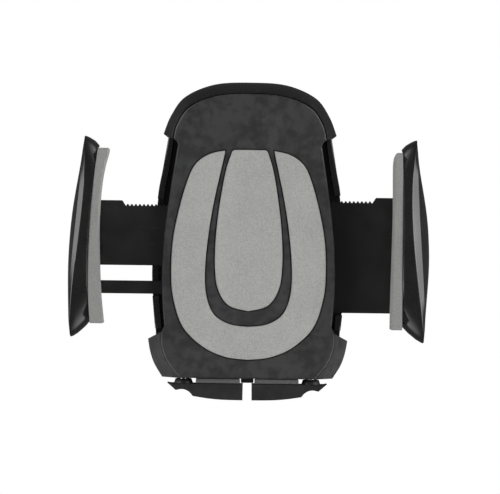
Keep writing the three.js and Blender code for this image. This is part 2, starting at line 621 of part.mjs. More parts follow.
function clipFrame() {
  const block = box(-CLIP.ear1, CLIP.ear1, CLIP.front, 47.2, -7.5, 4.5);
  const deck = box(-CLIP.ear1, CLIP.ear1, CLIP.front, 62, -7.5, -4);
  const jaw = sidePrism([[60, -7.2], [72, -6.4], [CLIP.back, -5.2], [CLIP.back, -3.5], [60, -3.5]], -CLIP.half, CLIP.half);
  const earSide = [[CLIP.front, -7.5], [62, -7.5], [62, -4], [58.6, 5.5], [56.5, 8.6], [54, 9.2], [51.5, 8.6], [46, 4.5], [CLIP.front, 4.5]];
  const ears = [-1, 1].map((s) => sidePrism(earSide, Math.min(s * CLIP.ear0, s * CLIP.ear1), Math.max(s * CLIP.ear0, s * CLIP.ear1)));
  const pinHole = rod("x", CLIP_PIN.r + 0.12, -12, 12, [0, CLIP_PIN.y, CLIP_PIN.z], 16);
  const studHole = rod("y", 2.15, 42, 48, [0, 0, 0], 16);
  return cut(join(block, deck, jaw, ...ears), pinHole, studHole);
}

function clipLever() {
  const side = [[76, 3.5], [76, 5.2], [70, 6.6], [58, 8.4], [53.5, 9.6], [44, 14.6], [42.6, 13.2], [43.4, 11.9]]
    .concat([[51, 7.2], [51, 4.2], [53, 2.6], [55.5, 2.7], [57.5, 3.5]]);
  const body = sidePrism(side, -CLIP.half, CLIP.half);
  const pinHole = rod("x", CLIP_PIN.r + 0.12, -9, 9, [0, CLIP_PIN.y, CLIP_PIN.z], 16);
  const springRoom = rod("x", 3.7, -3.6, 3.6, [0, CLIP_PIN.y, CLIP_PIN.z], 20);
  const legRoom = box(-3.6, 3.6, 50.2, 57.6, 1, CLIP_PIN.z);
  return cut(body, pinHole, springRoom, legRoom);
}

const clipPin = () =>
  turned([[0, -11.3], [2.2, -11.3], [2.2, -10.7], [CLIP_PIN.r, -10.7], [CLIP_PIN.r, 11], [0, 11]], "x", [0, CLIP_PIN.y, CLIP_PIN.z], 16);

// A torsion spring round the clip's pin: one leg stands on the deck, the other pushes up under the lever.
function clipSpring() {
  const r = 2.4;
  const start = (227.5 * Math.PI) / 180;
  const sweep = (1392.5 * Math.PI) / 180;
  const at = (turn, x) => new THREE.Vector3(x, CLIP_PIN.y + r * Math.cos(turn), CLIP_PIN.z + r * Math.sin(turn));
  const path = new THREE.CurvePath();
  path.add(new THREE.LineCurve3(new THREE.Vector3(-2.4, 45.6, 10), at(start, -2.4)));
  const turns = Array.from({ length: 31 }, (_, i) => at(start + (sweep * i) / 30, -2.4 + (4.8 * i) / 30));
  turns.slice(1).forEach((point, i) => path.add(new THREE.LineCurve3(turns[i], point)));
  path.add(new THREE.LineCurve3(turns[30], new THREE.Vector3(2.4, CLIP_PIN.y - r, -3.4)));
  return wire(path, 0.35, 62);
}

function jawPad(side) {
  const [near, far] = [1.1, 3.3].map((z) => side * z);
  const pad = box(-7.6, 7.6, 61, 75.6, Math.min(near, far), Math.max(near, far));
  const grooves = [63.6, 66.8, 70, 73.2].map((y) => box(-8, 8, y, y + 1.2, Math.min(near, side * 1.7) - 0.01, Math.max(near, side * 1.7) + 0.01));
  return cut(pad, ...grooves);
}

// ---- Assembly ----
const mount = new THREE.Group();
const cradle = new THREE.Group();
const joint = new THREE.Group();
const clip = new THREE.Group();
mount.add(cradle, joint, clip);
mount.position.y = -BLADE_DEPTH;

function place(group, name, made, material) {
  const { vertProperties, triVerts } = made.getMesh();
  const geometry = new THREE.BufferGeometry();
  geometry.setAttribute("position", new THREE.BufferAttribute(vertProperties, 3));
  geometry.setIndex(new THREE.BufferAttribute(triVerts, 1));
  const mesh = new THREE.Mesh(geometry, material);
  mesh.name = name;
  group.add(mesh);
}

place(cradle, "front_cover", frontCover(), matteGrey);
place(cradle, "rear_housing", rearHousing(), glossBlack);
place(cradle, "centre_pad", centrePad(), gripGrey);
place(cradle, "outer_pad", outerPad(), gripGrey);
place(cradle, "pinion_axle", rod("y", 1.25, 3, 12.1, [0, 0, 0], 16), steel);
place(cradle, "pinion", pinion(), acetal);
place(cradle, "left_arm", leftArm(), armBlack);
place(cradle, "right_arm", rightArm(), armBlack);
place(cradle, "release_button", releaseButton(), glossBlack);
place(cradle, "socket_cup", socketCup(), armBlack);
HOUSING_POSTS.forEach((post, i) => place(cradle, `housing_screw_${i + 1}`, bodyScrewAt(post), steel));
CUP_SCREWS.forEach((spot, i) => place(cradle, `socket_screw_${i + 1}`, cupScrew(spot), steel));
for (const [word, side] of [["left", -1], ["right", 1]]) {
  place(cradle, `${word}_cheek`, cheekCover(side), glossBlack);
  place(cradle, `${word}_grip`, gripPad(side), gripGrey);
  CHEEK_SCREW.z.forEach((z, i) => place(cradle, `${word}_cheek_screw_${i + 1}`, cheekScrew(side, z), steel));
  place(cradle, `${word}_foot`, foot(side), matteGrey);
  place(cradle, `${word}_foot_pad`, footPad(side), gripGrey);
  place(cradle, `${word}_foot_screw`, footScrew(side), steel);
}
const armSpring = { axis: "x", r: 1.5, wireR: 0.28, turns: 7 };
place(cradle, "left_arm_spring", coilSpring({ ...armSpring, from: -21.8, to: 7.8, centre: [5.2, -16.05] }), steel);
place(
  cradle,
  "right_arm_spring",
  coilSpring({ ...armSpring, from: SPRING_STOP_X + 0.2, to: PLATE_INNER - 0.2, centre: [9.0, -21.4] }),
  steel,
);
BUTTON_SPRINGS.forEach((x, i) => {
  const shape = { axis: "y", from: PLATE_T + 0.2, to: POCKET_FLOOR - 0.2, centre: [x, BUTTON_SPRING_Z] };
  place(cradle, `button_spring_${i + 1}`, coilSpring({ ...shape, r: 1.6, wireR: 0.22, turns: 4 }), steel);
});

place(joint, "ball_liner", ballLiner(), acetal);
place(joint, "lock_nut", lockNut(), matteGrey);

place(clip, "ball_stud", ballStud(), glossBlack);
place(clip, "stud_nut", studNut(), steel);
place(clip, "clip_frame", clipFrame(), matteGrey);
place(clip, "clip_lever", clipLever(), matteGrey);
place(clip, "clip_pin", clipPin(), steel);
place(clip, "clip_spring", clipSpring(), steel);
place(clip, "lower_jaw_pad", jawPad(-1), gripGrey);
place(clip, "upper_jaw_pad", jawPad(1), gripGrey);

export default mount;
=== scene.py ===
"""Looks of the car phone mount: fine surfaces and materials over its CAD frame, in a white studio."""

import json
import math

import bmesh
import bpy
import numpy as np
from mathutils import Matrix, Vector


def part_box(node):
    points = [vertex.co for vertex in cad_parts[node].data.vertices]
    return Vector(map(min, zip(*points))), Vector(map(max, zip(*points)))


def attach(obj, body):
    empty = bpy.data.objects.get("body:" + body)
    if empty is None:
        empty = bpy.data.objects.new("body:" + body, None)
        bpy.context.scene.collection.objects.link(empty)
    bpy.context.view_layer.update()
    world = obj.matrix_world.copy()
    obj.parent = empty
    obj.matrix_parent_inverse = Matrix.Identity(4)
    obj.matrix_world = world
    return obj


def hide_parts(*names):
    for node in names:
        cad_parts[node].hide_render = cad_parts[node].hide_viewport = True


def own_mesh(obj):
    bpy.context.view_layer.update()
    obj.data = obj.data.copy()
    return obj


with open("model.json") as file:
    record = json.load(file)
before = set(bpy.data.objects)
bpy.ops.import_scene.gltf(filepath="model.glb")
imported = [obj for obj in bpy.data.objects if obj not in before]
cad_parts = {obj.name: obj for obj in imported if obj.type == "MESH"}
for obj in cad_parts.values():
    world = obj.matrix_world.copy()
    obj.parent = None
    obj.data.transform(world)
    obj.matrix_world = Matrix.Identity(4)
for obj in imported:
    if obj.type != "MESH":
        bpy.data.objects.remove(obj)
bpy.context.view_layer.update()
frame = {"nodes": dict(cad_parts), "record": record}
CAD = frame["nodes"]

# Pieces are drawn in millimetres, as the CAD is: x to the right, y back from the cradle's front face, z up.
MM = 0.001
FACE_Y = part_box("front_cover")[0].y
TO_ROW = Matrix.Translation((0, FACE_Y, 0)) @ Matrix.Scale(MM, 4)


def in_mm(node):
    """A CAD node's lowest and highest corners in this script's millimetres."""
    return [TO_ROW.inverted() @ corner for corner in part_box(node)]


# ---- Curves and outlines, as seen from the front: (x, z) ----
def through(points, steps, before=None):
    """A smooth run through the points; before is the point that the run would come from."""
    knots = [Vector(p) for p in points]
    ghost = [Vector(before) if before else knots[0], *knots, knots[-1]]
    run = []
    for i in range(steps + 1):
        place = (len(knots) - 1) * i / steps
        k = min(int(place), len(knots) - 2)
        t = place - k
        a, b, c, d = ghost[k : k + 4]
        start, end = (c - a) / 2, (d - b) / 2
        cubic = (2 * b - 2 * c + start + end) * t**3 + (3 * c - 3 * b - 2 * start - end) * t**2
        run.append((cubic + start * t + b).to_tuple())
    return run


def outline(*runs):
    """The runs one after another, with repeated points left out."""
    points = []
    for point in (p for run in runs for p in run):
        if not points or math.dist(point, points[-1]) > 0.02:
            points.append(point)
    if math.dist(points[0], points[-1]) < 0.02:
        points.pop()
    return points


def both_sides(*runs):
    """The whole outline from its right half, which runs from the top middle to the bottom middle."""
    half = outline(*runs)
    return half + [(-x, z) for x, z in reversed(half) if x > 0.02]


def leftward(run):
    return [(-x, z) for x, z in reversed(run)]


def grown(points, distance):
    """An outline moved outwards by a distance, or inwards where it is negative."""
    n = len(points)
    area = sum(points[i - 1][0] * points[i][1] - points[i][0] * points[i - 1][1] for i in range(n))
    moved = []
    for i, (x, z) in enumerate(points):
        before = Vector((x - points[i - 1][0], z - points[i - 1][1])).normalized()
        after = Vector((points[(i + 1) % n][0] - x, points[(i + 1) % n][1] - z)).normalized()
        along = (before + after).normalized()
        reach = math.copysign(distance / max(0.5, along.dot(after)), area * distance)
        moved.append((x + along.y * reach, z - along.x * reach))
    return moved


def between(run, other, share):
    """The run that lies a share of the way from one run to another of equal length."""
    return [(a + (c - a) * share, b + (d - b) * share) for (a, b), (c, d) in zip(run, other)]


def arc(r, centre, start, end, steps):
    """(radius, distance) points on a circle about a point of the axis, between two angles in degrees."""
    turns = [math.radians(start + (end - start) * i / steps) for i in range(steps + 1)]
    return [(max(0.0, r * math.cos(t)), centre + r * math.sin(t)) for t in turns]


# ---- Solids ----
def solid(name, points, faces):
    mesh = bpy.data.meshes.new(name)
    mesh.from_pydata([tuple(p) for p in points], [], faces)
    work = bmesh.new()
    work.from_mesh(mesh)
    bmesh.ops.remove_doubles(work, verts=work.verts, dist=1e-5)
    bmesh.ops.recalc_face_normals(work, faces=work.faces)
    work.to_mesh(mesh)
    work.free()
    obj = bpy.data.objects.new(name, mesh)
    bpy.context.scene.collection.objects.link(obj)
    return obj


def skin(name, loops):
    """A closed skin through loops of equal length, with flat ends."""
    n = len(loops[0])
    points = [p for loop in loops for p in loop]
    faces = []
    for k in range(len(loops) - 1):
        for i in range(n):
            a, b = k * n + i, k * n + (i + 1) % n
            faces.append((a, b, b + n, a + n))
    faces.append(tuple(reversed(range(n))))
    faces.append(tuple(range(len(points) - n, len(points))))
    return solid(name, points, faces)


def slab(name, shape, profile):
    """A front-view outline pushed through in depth, by a profile of (how far it grows, depth)."""
    return skin(name, [[(x, y, z) for x, z in grown(shape, grow)] for grow, y in profile])


def rounded(front, back, r):
    """A slab profile with round edges of radius r at both faces."""
    quarter = [(r * (math.sin(t) - 1), r * (1 - math.cos(t))) for t in (0, 0.4, 0.8, 1.2, math.pi / 2)]
    return [(g, front + y) for g, y in quarter] + [(g, back - y) for g, y in reversed(quarter)]


def lathe(name, profile, axis="y", centre=(0, 0, 0), steps=72):
    """A profile of (radius, distance) points turned round an axis. Off the axis, its ends are joined."""
    points, rings = [], []
    for r, along in profile:
        first = len(points)
        count = 1 if r < 1e-6 else steps
        for i in range(count):
            turn = 2 * math.pi * i / steps
            a, b = r * math.cos(turn), r * math.sin(turn)
            place = {"x": (along, a, b), "y": (b, along, a), "z": (a, b, along)}[axis]
            points.append(Vector(place) + Vector(centre))
        rings.append([first + (i % count) for i in range(steps)])
    pairs = list(zip(rings, rings[1:]))
    if profile[0][0] > 1e-6:
        pairs.append((rings[-1], rings[0]))
    faces = []
    for low, high in pairs:
        for i in range(steps):
            j = (i + 1) % steps
            corners = dict.fromkeys((low[i], low[j], high[j], high[i]))
            if len(corners) > 2:
                faces.append(tuple(corners))
    return solid(name, points, faces)


def rod(name, r, start, end, axis="y", centre=(0, 0, 0), steps=48):
    return lathe(name, [(0, start), (r, start), (r, end), (0, end)], axis, centre, steps)


def brick(name, low, high, r=0.0):
    """A box between two corners, its edges rounded by r."""
    obj = solid(name, [], [])
    work = bmesh.new()
    bmesh.ops.create_cube(work, size=1)
    size = Vector(high) - Vector(low)
    bmesh.ops.scale(work, vec=size, verts=work.verts)
    bmesh.ops.translate(work, vec=(Vector(high) + Vector(low)) / 2, verts=work.verts)
    if r:
        bmesh.ops.bevel(work, geom=work.edges[:], offset=r, segments=3, profile=0.5, affect="EDGES")
    work.to_mesh(obj.data)
    work.free()
    return obj


def tube(name, path, r, sides=10):
    """A round wire along a list of points."""
    loops = []
    across = None
    for i, point in enumerate(path):
        ahead = (path[min(i + 1, len(path) - 1)] - path[max(i - 1, 0)]).normalized()
        if across is None:
            across = ahead.orthogonal().normalized()
        across = (across - across.dot(ahead) * ahead).normalized()
        other = ahead.cross(across)
        turns = [2 * math.pi * k / sides for k in range(sides)]
        loops.append([point + r * (math.cos(t) * across + math.sin(t) * other) for t in turns])
    return skin(name, loops)


def settle(obj):
    """Applies the object's modifiers."""
    shown = obj.evaluated_get(bpy.context.evaluated_depsgraph_get())
    made = bpy.data.meshes.new_from_object(shown)
    obj.modifiers.clear()
    obj.data = made


def combine(operation, target, tools):
    for tool in tools:
        step = target.modifiers.new(operation, "BOOLEAN")
        step.operation = operation
        step.solver = "EXACT"
        step.object = tool
        settle(target)
        bpy.data.objects.remove(tool)
    return target


def cut(target, *tools):
    return combine("DIFFERENCE", target, tools)


def join(target, *tools):
    return combine("UNION", target, tools)


# ---- Materials ----
class Nodes:
    """A material's node tree, with short ways to add to it."""

    def __init__(self, name):
        self.material = bpy.data.materials.new(name)
        self.material.use_nodes = True
        self.tree = self.material.node_tree
        self.shader = self.tree.nodes["Principled BSDF"]
        self.place = self.tree.nodes.new("ShaderNodeTexCoord").outputs["Object"]

    def set(self, **values):
        for name, value in values.items():
            self.shader.inputs[name.replace("_", " ")].default_value = value
        return self

    def link(self, output, name):
        self.tree.links.new(output, self.shader.inputs[name])

    def stretched(self, scale):
        """The object's coordinates, scaled along each axis."""
        node = self.tree.nodes.new("ShaderNodeMapping")
        node.inputs["Scale"].default_value = scale
        self.tree.links.new(self.place, node.inputs["Vector"])
        return node.outputs["Vector"]

    def noise(self, size, detail=3.0, where=None, roughness=0.5):
        """Noise with features of a size in millimetres."""
        node = self.tree.nodes.new("ShaderNodeTexNoise")
        node.inputs["Scale"].default_value = 1 / (size * MM)
        node.inputs["Detail"].default_value = detail
        node.inputs["Roughness"].default_value = roughness
        self.tree.links.new(where or self.place, node.inputs["Vector"])
        return node.outputs["Fac"]

    def spread(self, value, low, high, between=(0.3, 0.7)):
        """The value's range between two limits, spread from low to high."""
        node = self.tree.nodes.new("ShaderNodeMapRange")
        node.inputs["From Min"].default_value, node.inputs["From Max"].default_value = between
        node.inputs["To Min"].default_value, node.inputs["To Max"].default_value = low, high
        self.tree.links.new(value, node.inputs["Value"])
        return node.outputs["Result"]

    def combined(self, a, b, operation="MULTIPLY"):
        """Two values, or a value and a number, put together by a sum."""
        node = self.tree.nodes.new("ShaderNodeMath")
        node.operation = operation
        for value, socket in zip((a, b), node.inputs):
            if isinstance(value, (int, float)):
                socket.default_value = value
            else:
                self.tree.links.new(value, socket)
        return node.outputs["Value"]

    def ramp(self, value, *colours):
        """A colour between linear RGB colours, by a value from 0 to 1."""
        node = self.tree.nodes.new("ShaderNodeValToRGB")
        stops = node.color_ramp.elements
        while len(stops) < len(colours):
            stops.new(0.5)
        for i, (stop, colour) in enumerate(zip(stops, colours)):
            stop.position = i / (len(colours) - 1)
            stop.color = (*colour, 1)
        self.tree.links.new(value, node.inputs["Fac"])
        return node.outputs["Color"]

    def bump(self, height, depth, strength=1.0):
        """Bumps of a depth in millimetres."""
        node = self.tree.nodes.new("ShaderNodeBump")
        node.inputs["Distance"].default_value = depth * MM
        node.inputs["Strength"].default_value = strength
        self.tree.links.new(height, node.inputs["Height"])
        self.link(node.outputs["Normal"], "Normal")


def shade(grey, tint=(1, 1, 1)):
    """A linear colour from an sRGB grey of 0 to 255 and a tint."""
    share = grey / 255
    linear = share / 12.92 if share <= 0.04045 else ((share + 0.055) / 1.055) ** 2.4
    return tuple(linear * t for t in tint)


def matte_plastic(name, dark, light):
    """Spark-textured dark grey moulding with faint handling marks."""
    n = Nodes(name).set(Specular_IOR_Level=0.34)
    cloud = n.combined(n.noise(11, 5, roughness=0.6), n.noise(3, 4), "ADD")
    patches = n.spread(cloud, 0, 1, (0.87, 1.13))
    n.link(n.ramp(patches, shade(dark, (1, 1, 1.05)), shade(light, (1, 1, 1.04))), "Base Color")
    n.link(n.spread(n.noise(9, 5), 0.46, 0.58), "Roughness")
    n.bump(n.noise(0.32, 2), 0.012, 0.5)
    return n.material


def gloss_plastic():
    """Polished black moulding with a very slight ripple and dulled patches."""
    n = Nodes("gloss_black_plastic").set(Coat_Weight=0.3, Coat_Roughness=0.08)
    n.link(n.ramp(n.spread(n.noise(20, 3), 0, 1), shade(22), shade(28)), "Base Color")
    n.link(n.spread(n.noise(7, 6), 0.24, 0.34), "Roughness")
    n.bump(n.noise(3.5, 2), 0.01, 0.25)
    return n.material


def slider_plastic():
    """Satin black plastic, scuffed along the way that it slides."""
    n = Nodes("satin_black_plastic")
    scuffs = n.noise(1.1, 6, n.stretched((0.09, 1, 1)), 0.65)
    marks = n.combined(n.spread(scuffs, 0, 1, (0.57, 0.68)), n.spread(n.noise(11, 2), 0, 1, (0.45, 0.62)))
    n.link(n.ramp(marks, shade(27), shade(27), shade(50)), "Base Color")
    n.link(n.spread(n.noise(6, 5), 0.36, 0.52), "Roughness")
    n.bump(n.noise(0.5, 3, n.stretched((0.2, 1, 1))), 0.006, 0.5)
    return n.material


def soft_inlay(name, dark, light, tint):
    """Matte elastomer with a fine pale speckle."""
    n = Nodes(name).set(Sheen_Weight=0.12, Sheen_Roughness=0.6, Specular_IOR_Level=0.3)
    grain, patches = n.spread(n.noise(0.42, 3), 0, 0.75, (0.36, 0.64)), n.spread(n.noise(8, 4), 0, 0.25)
    speckle = n.combined(grain, patches, "ADD")
    n.link(n.ramp(speckle, shade(dark, tint), shade(light, tint)), "Base Color")
    n.link(n.spread(n.noise(2.5, 3), 0.78, 0.92), "Roughness")
    n.bump(n.noise(0.3, 4), 0.03, 0.55)
    return n.material


def acetal():
    """Waxy white bearing plastic."""
    n = Nodes("white_acetal").set(Subsurface_Weight=0.15, Subsurface_Scale=0.001)
    creamy, pale = shade(208, (1, 0.99, 0.94)), shade(219, (1, 1, 0.96))
    n.link(n.ramp(n.spread(n.noise(6, 3), 0, 1), creamy, pale), "Base Color")
    n.link(n.spread(n.noise(2, 4), 0.34, 0.46), "Roughness")
    n.bump(n.noise(1.2, 3), 0.01, 0.4)
    return n.material


def plated_steel():
    """Zinc-plated steel with fine turning marks and dull spots."""
    n = Nodes("zinc_plated_steel").set(Metallic=1.0)
    n.link(n.ramp(n.spread(n.noise(1.6, 4), 0, 1), shade(172), shade(196, (1, 1, 0.98))), "Base Color")
    n.link(n.spread(n.noise(0.8, 5), 0.24, 0.42), "Roughness")
    n.bump(n.noise(0.25, 3, n.stretched((1, 0.15, 1))), 0.006, 0.5)
    return n.material


LOOKS = {
    "matte_grey": matte_plastic("matte_grey_plastic", 37, 53),
    # Painted shade: the feet get a darker copy of the matte grey plastic, standing in for the shadow they lie
    # in under the body.
    "foot_grey_painted_shade": matte_plastic("foot_plastic_painted_shade", 26, 34),
    "gloss_black": gloss_plastic(),
    "arm_black": slider_plastic(),
    "soft_grey": soft_inlay("speckled_inlay", 148, 172, (1.0, 1.0, 0.965)),
    "grip_grey": soft_inlay("grip_rubber", 124, 145, (1.0, 1.0, 0.98)),
    "foot_strip": soft_inlay("foot_rubber", 88, 108, (1.0, 1.0, 1.0)),
    "acetal": acetal(),
    "steel": plated_steel(),
}
SLOT_OF = {part["node"]: part["material_slot"] for part in frame["record"]["subparts"]}
BODY_OF = {node: body for body, nodes in frame["record"]["behaviour"]["bodies"].items() for node in nodes}


def paint(obj, slot):
    obj.data.materials.clear()
    obj.data.materials.append(LOOKS[slot])


def smooth(obj, angle=32):
    """Smooth shading that breaks at edges sharper than an angle in degrees, with flat faces kept flat."""
    obj.data.shade_smooth()
    obj.data.set_sharp_from_angle(angle=math.radians(angle))
    step = obj.modifiers.new("flat_faces", "WEIGHTED_NORMAL")
    step.keep_sharp = True


def edges_eased(obj, width, angle=50):
    """Rounds the edges that a shell's cuts have left."""
    bevel = obj.modifiers.new("eased_edges", "BEVEL")
    bevel.width = width
    bevel.segments = 2
    bevel.limit_method = "ANGLE"
    bevel.angle_limit = math.radians(angle)
    settle(obj)
    return obj


def dress(piece, slot, body, angle=32, look=None):
    """Places, paints and smooths a piece, so that it rides on a body; its look is that of a material slot, or
    the look given.
    """
    piece.data.transform(TO_ROW)
    paint(piece, look or slot)
    smooth(piece, angle)
    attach(piece, body)
    return piece


def stand_in(piece, node, angle=32, look=None):
    """The finished piece stands for a CAD node: it rides on that node's body and is painted after that node's
    material slot.
    """
    dress(piece, SLOT_OF[node], BODY_OF[node], angle, look)
    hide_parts(node)
    return piece


# ---- Cradle body ----
# Runs of the right half, from the top down. The band's and the skirt's pairs are their front and back edges.
BOTTOM = -45.8
plate_top = through([(0, 48.3), (11, 47.5), (19.8, 43.9), (24, 38.2), (25.3, 33.2)], 44, before=(-11, 47.5))
notch = through([(25.3, 33.2), (24.3, 32.3), (23.75, 31)], 6)
plate_waist = through([(23.8, 31), (26.2, 15.5), (28, 1), (28.6, -12), (28.2, -22), (27.6, -28.6)], 40)
crease = through([(28.6, -30.6), (28.5, -35), (26.6, -40.3), (22.4, BOTTOM)], 24)
ear = through([(33.4, -33.3), (32.6, -37.5), (31.2, -41.5), (28.6, BOTTOM)], 24)
band_outer = through([(0, 52.4), (12, 51.6), (21.6, 47.5), (26.3, 41.3), (28.8, 35)], 44, before=(-12, 51.6))
band_front = through(
    [(0, 48.6), (11, 47.8), (20.05, 44.15), (24.3, 38.3), (25.62, 33.2)], 44, before=(-11, 47.8)
)
rim = through([(27.1, 33.7), (28.8, 23), (30.3, 14), (31.9, -6), (31.9, -16), (30.6, -31)], 40)

CENTRE_PAD = both_sides(
    [(0, 29.7), (5.0, 29.65)],
    through([(5.0, 29.65), (5.7, 29.3), (6.05, 28.6)], 5),
    through(
        [(6.05, 28.6), (7.9, 22.5), (9.7, 12), (10.8, 2), (11.1, -8), (10.1, -16), (6.5, -21.6), (0, -23.5)],
        60,
    ),
)
pad_outer = through(
    [(8.2, 29.4), (13.5, 28.1), (17.9, 24.8), (20.6, 19), (23.2, 9.6), (25, 0), (25.5, -10), (24.8, -19)]
    + [(21.6, -28.6), (15, -35.2), (7.5, -38.6), (0, -39.5)],
    90,
)
pad_inner = through(
    [(0, -28.7), (6, -27.9), (11, -25), (13.6, -19.6), (14.4, -12), (13.7, -1), (11.8, 12), (8.25, 28.6)],
    60,
)
OUTER_PAD = outline(pad_outer, leftward(pad_outer), leftward(pad_inner), pad_inner)
POSTS = [(-14, 39.5), (14, 39.5), (-15, -37), (15, -37)]
CUP_SCREWS = [(x, z) for x in (-6.5, 6.5) for z in (-6.5, 6.5)]
FOOT_SCREW_HEAD_R = 2.5
PIVOT_X = in_mm("right_foot_screw")[1].x - FOOT_SCREW_HEAD_R
PIVOT_Y = 5
PLATE_BACK = 2.2


def level(half, y):
    """A loop at one depth from a run on the right side and its mirror image."""
    return [(x, y, z) for x, z in [*half, *leftward(half)]]


def drawn_in(run, distance):
    """A run moved towards the middle and up, which rounds a skirt's back edge."""
    return [(x - distance, z + distance * 0.4) for x, z in run]


def front_cover():
    """The front plate with its slanting skirt, screw posts, bosses and the recesses of the soft inlays."""
    plate = both_sides(plate_top, notch, plate_waist, [(27.6, -28.6), (28.6, -30.6)], crease, [(0, BOTTOM)])
    edge = [(-0.5, 0), (-0.38, 0.03), (-0.06, 0.3), (0, 0.45), (0, PLATE_BACK)]
    cover = slab("front_cover_shell", plate, edge)
    skirt_back = 8.5
    ear_in = through([(31.2, -28), (30.5, -37), (29.1, -40.9), (27.2, -44)], 24)
    crease_in = through([(26.8, -28), (26.7, -35), (24.9, -39.6), (21.6, -44)], 24)
    loops = [level(between(crease, ear, y / skirt_back), y) for y in (0.42, 4, 8.1)]
    skirt = skin("skirt", [*loops, level(drawn_in(ear, 0.35), skirt_back)])
    hollow = skin("skirt_hollow", [level(crease_in, PLATE_BACK), level(ear_in, skirt_back + 0.2)])
    join(cover, cut(skirt, hollow))
    for x, z in POSTS:
        join(cover, rod("post", 2.8, 2.1, 10.6, centre=(x, 0, z)))
        cut(cover, rod("post_hole", 1.15, 5, 11, centre=(x, 0, z)))
    join(cover, rod("axle_boss", 2.6, 2.1, 4.8), brick("spring_stop", (8, 2.1, -18.4), (9.5, 7.6, -13.6)))
    cut(cover, rod("axle_hole", 1.35, 2.8, 5))
    for side in (-1, 1):
        spot = (side * PIVOT_X, PIVOT_Y, 0)
        join(cover, rod("pivot_boss", 3.1, BOTTOM + 1, -39.5, "z", spot))
        cut(cover, rod("pivot_hole", 1.62, -47, -40, "z", spot))
    for pad in (CENTRE_PAD, OUTER_PAD):
        cut(cover, slab("recess", grown(pad, 0.42), [(0, -1), (0, 1.0)]))
    return cover


def rear_housing():
    """The tray behind the plate, with the band over the top, its slots, window, ribs and screw holes."""
    low = [(30.6, -36), (29.3, -41), (27.2, -45.3), (0, -45.3)]
    outside = both_sides(band_outer, rim, low)
    back_edge = [(0, 3.35), (0, 11.2), (-0.25, 12.0), (-0.8, 12.7), (-1.6, 13)]
    shell = slab("rear_housing_shell", outside, [(-0.35, 3), *back_edge])
    above_band = brick("above_band", (-40, 2, 34.3), (40, 8, 60))
    behind_skirt = brick("behind_skirt", (-40, 2, -60), (40, 8.8, -29.6))
    cut(shell, above_band, behind_skirt)
    bulge = [(0.0, 0.45), (0.12, 0.55), (0.4, 2.4), (0.7, 4.7), (0.9, 6.6), (1.0, 8.15)]
    join(shell, skin("flank", [level(between(band_front, band_outer, share), y) for share, y in bulge]))
    inside = both_sides(
        through([(0, 48.5), (11, 47.7), (20, 44.1), (24.2, 38.2), (25.5, 33)], 30, before=(-11, 47.7)),
        through([(25.5, 32), (26.8, 23), (28.3, 14), (29.8, -6), (29.8, -16), (28.5, -31)], 30),
        [(28.6, -36), (27.2, -41), (25.8, -43.5), (0, -43.5)],
    )
    cut(shell, slab("cavity", inside, [(0, -2), (0, 10.8)]))
    left_slot = brick("left_slot", (-40, -1, -18.9), (-20, 7.8, 13.4))
    right_slot = brick("right_slot", (20, -1, -24.6), (40, 10.7, 15.1))
    cut(shell, left_slot, right_slot)
    guide_rib = brick("guide_rib", (-22, 8.2, -26.4), (22, 11, -24.5))
    spring_rib = brick("spring_rib", (-9.5, 8, -24.8), (-8, 11, -18.8))
    join(shell, guide_rib, spring_rib)
    cut(shell, brick("button_window", (-9.35, 9, 19.65), (9.35, 15, 32.35)))
    for x, z in POSTS:
        profile = [(0, 9), (1.3, 9), (1.3, 11.7), (2.4, 11.7), (2.4, 12.8), (2.7, 13.2), (2.7, 14), (0, 14)]
        cut(shell, lathe("screw_hole", profile, centre=(x, 0, z)))
    sunk = [(0, 10), (2.3, 10), (2.3, 11), (1.2, 12.2), (1.2, 14), (0, 14)]
    for x, z in CUP_SCREWS:
        cut(shell, lathe("cup_hole", sunk, centre=(x, 0, z)))
    cut(shell, rod("axle_seat", 1.35, 10, 12.3))
    return shell


def inlay(name, shape, crown):
    """A soft pad with a rounded, slightly raised edge."""
    front = [(-0.45, -0.6), (-0.24, -0.55), (-0.07, -0.4), (0, -0.15), (0, 0.9)]
    return slab(name, grown(shape, crown), front)


stand_in(front_cover(), "front_cover")
stand_in(edges_eased(rear_housing(), 0.16), "rear_housing")
stand_in(inlay("centre_inlay", CENTRE_PAD, 0.02), "centre_pad")
stand_in(inlay("outer_inlay", OUTER_PAD, 0.02), "outer_pad")
# Painted shade: the stop is part of the cover, but it takes the release button's black material so that it
# stands in for the deep shadow under the body between the feet.
stop = brick("foot_stop", (-2.1, 3, -47.3), (2.1, 7, BOTTOM + 0.4), 0.35)
dress(stop, SLOT_OF["release_button"], "cradle")

# ---- Jaws ----
CHEEK_MID_Y, CHEEK_HALF_Y = -1.5, 13.7
CHEEK_WALL = 1.4
JAW_INNER = 51.3  # how far out a grip's flat back stands


def bowed(*points):
    """A smooth curve x(z) close to some (x, z) points."""
    heights = [z for _, z in points]
    return np.poly1d(np.polyfit(heights, [x for x, _ in points], 3))


def traced(*points):
    """A smooth curve x(z) through some (x, z) points, which run from the top down."""
    run = through(points, 80)[::-1]
    return lambda height: float(np.interp(height, [z for _, z in run], [x for x, _ in run]))


